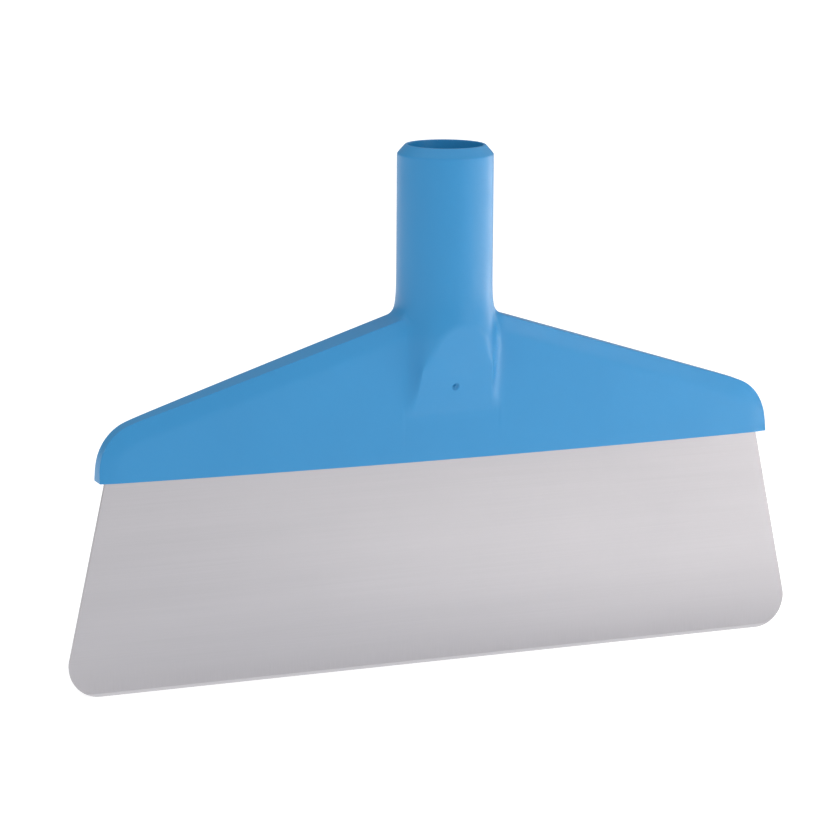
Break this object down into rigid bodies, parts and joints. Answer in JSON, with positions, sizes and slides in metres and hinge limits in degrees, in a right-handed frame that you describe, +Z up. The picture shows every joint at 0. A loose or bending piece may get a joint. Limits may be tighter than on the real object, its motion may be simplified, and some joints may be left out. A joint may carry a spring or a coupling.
{
  "type": "algae scraper head",
  "caption": "Wide flaring steel scraper blade moulded into a sloping plastic holder with an upright threaded socket for a long handle.",
  "frame": {"origin": "middle of the blade's working edge, which is the lowest line of the part", "axes": "+X along the blade, +Y to the back, +Z up the handle socket"},
  "size_m": [0.26, 0.0338, 0.1749],
  "materials": {
    "holder_plastic": "satin injection-moulded polypropylene, sky blue",
    "blade_steel": "cold-rolled stainless spring sheet, fine matt finish, ground working edge"
  },
  "bodies": {
    "root": {"holder": "holder_plastic", "blade": "blade_steel"}
  },
  "joints": []
}
